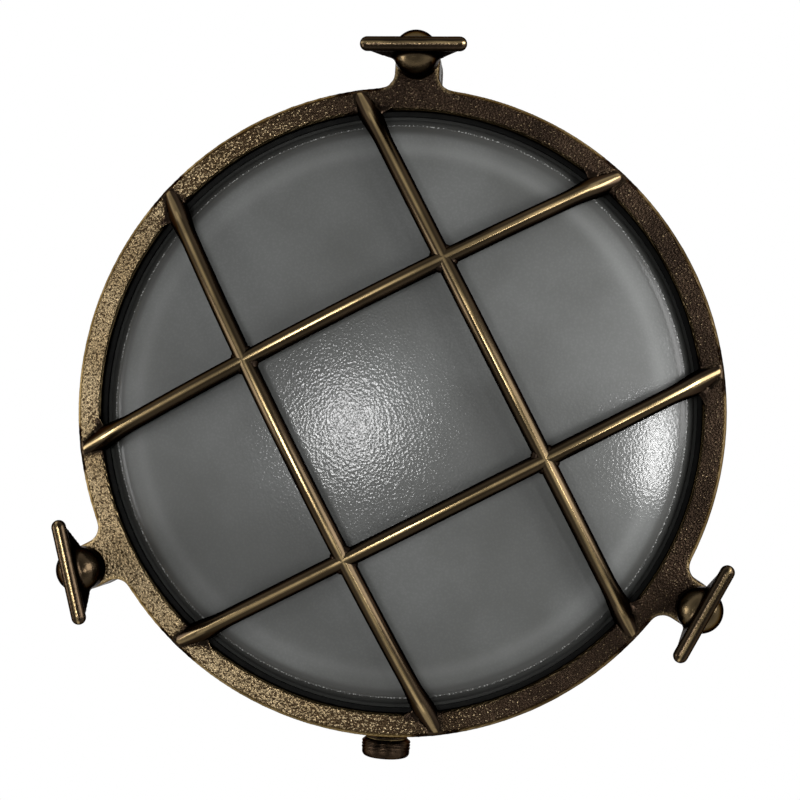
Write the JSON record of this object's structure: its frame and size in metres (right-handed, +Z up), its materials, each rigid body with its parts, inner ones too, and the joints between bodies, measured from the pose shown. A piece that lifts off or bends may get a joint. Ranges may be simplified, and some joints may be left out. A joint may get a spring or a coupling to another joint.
{
  "type": "bulkhead light",
  "caption": "Round cast wall light with a frosted glass dome under an arched bar cage, held on by wing nuts, with a cable gland below.",
  "frame": {"origin": "centre of the housing's back face, on the wall, in the middle of the four fixing holes", "axes": "+Y into the wall, so the glass faces -Y; +Z up, with the gland at -Z; +X to the right as one faces the light"},
  "size_m": [0.2031, 0.0848, 0.227],
  "materials": {
    "antique_bronze": "sand-cast brass with a dark antique patina, rubbed bright on ridges and edges",
    "yellow_brass": "turned, dulled",
    "frosted_glass": "pressed glass, frosted, finely pebbled",
    "gasket_rubber": "black, matt",
    "glazed_ceramic": "white glaze",
    "plated_steel": "zinc plated",
    "opal_lamp": "opal, satin"
  },
  "bodies": {
    "housing": {"back_housing": "antique_bronze", "cage_ring": "antique_bronze", "glass_dome": "frosted_glass", "front_gasket": "gasket_rubber", "rear_gasket": "gasket_rubber", "stud_top": "yellow_brass", "stud_left": "yellow_brass", "stud_right": "yellow_brass", "gland_body": "yellow_brass", "gland_seal": "gasket_rubber", "gland_cap": "antique_bronze", "lampholder": "glazed_ceramic", "screw_shell": "yellow_brass", "centre_contact": "yellow_brass", "holder_bracket": "plated_steel", "holder_screws": "plated_steel", "bracket_screws": "plated_steel", "terminal_screws": "yellow_brass", "earth_screw": "yellow_brass", "lamp": "opal_lamp"},
    "top_washer": {"washer_top": "yellow_brass"},
    "top_nut": {"wing_nut_top": "antique_bronze"},
    "left_washer": {"washer_left": "yellow_brass"},
    "left_nut": {"wing_nut_left": "antique_bronze"},
    "right_washer": {"washer_right": "yellow_brass"},
    "right_nut": {"wing_nut_right": "antique_bronze"}
  },
  "joints": [
    {"name": "top_nut_climb", "type": "slide", "parent": "housing", "child": "top_washer", "axis": [0, -1, 0], "range_m": [0, 0.007]},
    {"name": "top_nut_turn", "type": "hinge", "parent": "top_washer", "child": "top_nut", "pos_m": [0, -0.0656, 0.1085], "axis": [0, -1, 0], "range_deg": [0, 2520]},
    {"name": "left_nut_climb", "type": "slide", "parent": "housing", "child": "left_washer", "axis": [0, -1, 0], "range_m": [0, 0.007]},
    {"name": "left_nut_turn", "type": "hinge", "parent": "left_washer", "child": "left_nut", "pos_m": [-0.09396, -0.0656, -0.05425], "axis": [0, -1, 0], "range_deg": [0, 2520]},
    {"name": "right_nut_climb", "type": "slide", "parent": "housing", "child": "right_washer", "axis": [0, -1, 0], "range_m": [0, 0.007]},
    {"name": "right_nut_turn", "type": "hinge", "parent": "right_washer", "child": "right_nut", "pos_m": [0.09396, -0.0656, -0.05425], "axis": [0, -1, 0], "range_deg": [0, 2520]}
  ],
  "couplings": [
    {"joint": "top_nut_turn", "follows": "top_nut_climb", "rad_per_m": 6283.2},
    {"joint": "left_nut_turn", "follows": "left_nut_climb", "rad_per_m": 6283.2},
    {"joint": "right_nut_turn", "follows": "right_nut_climb", "rad_per_m": 6283.2}
  ]
}
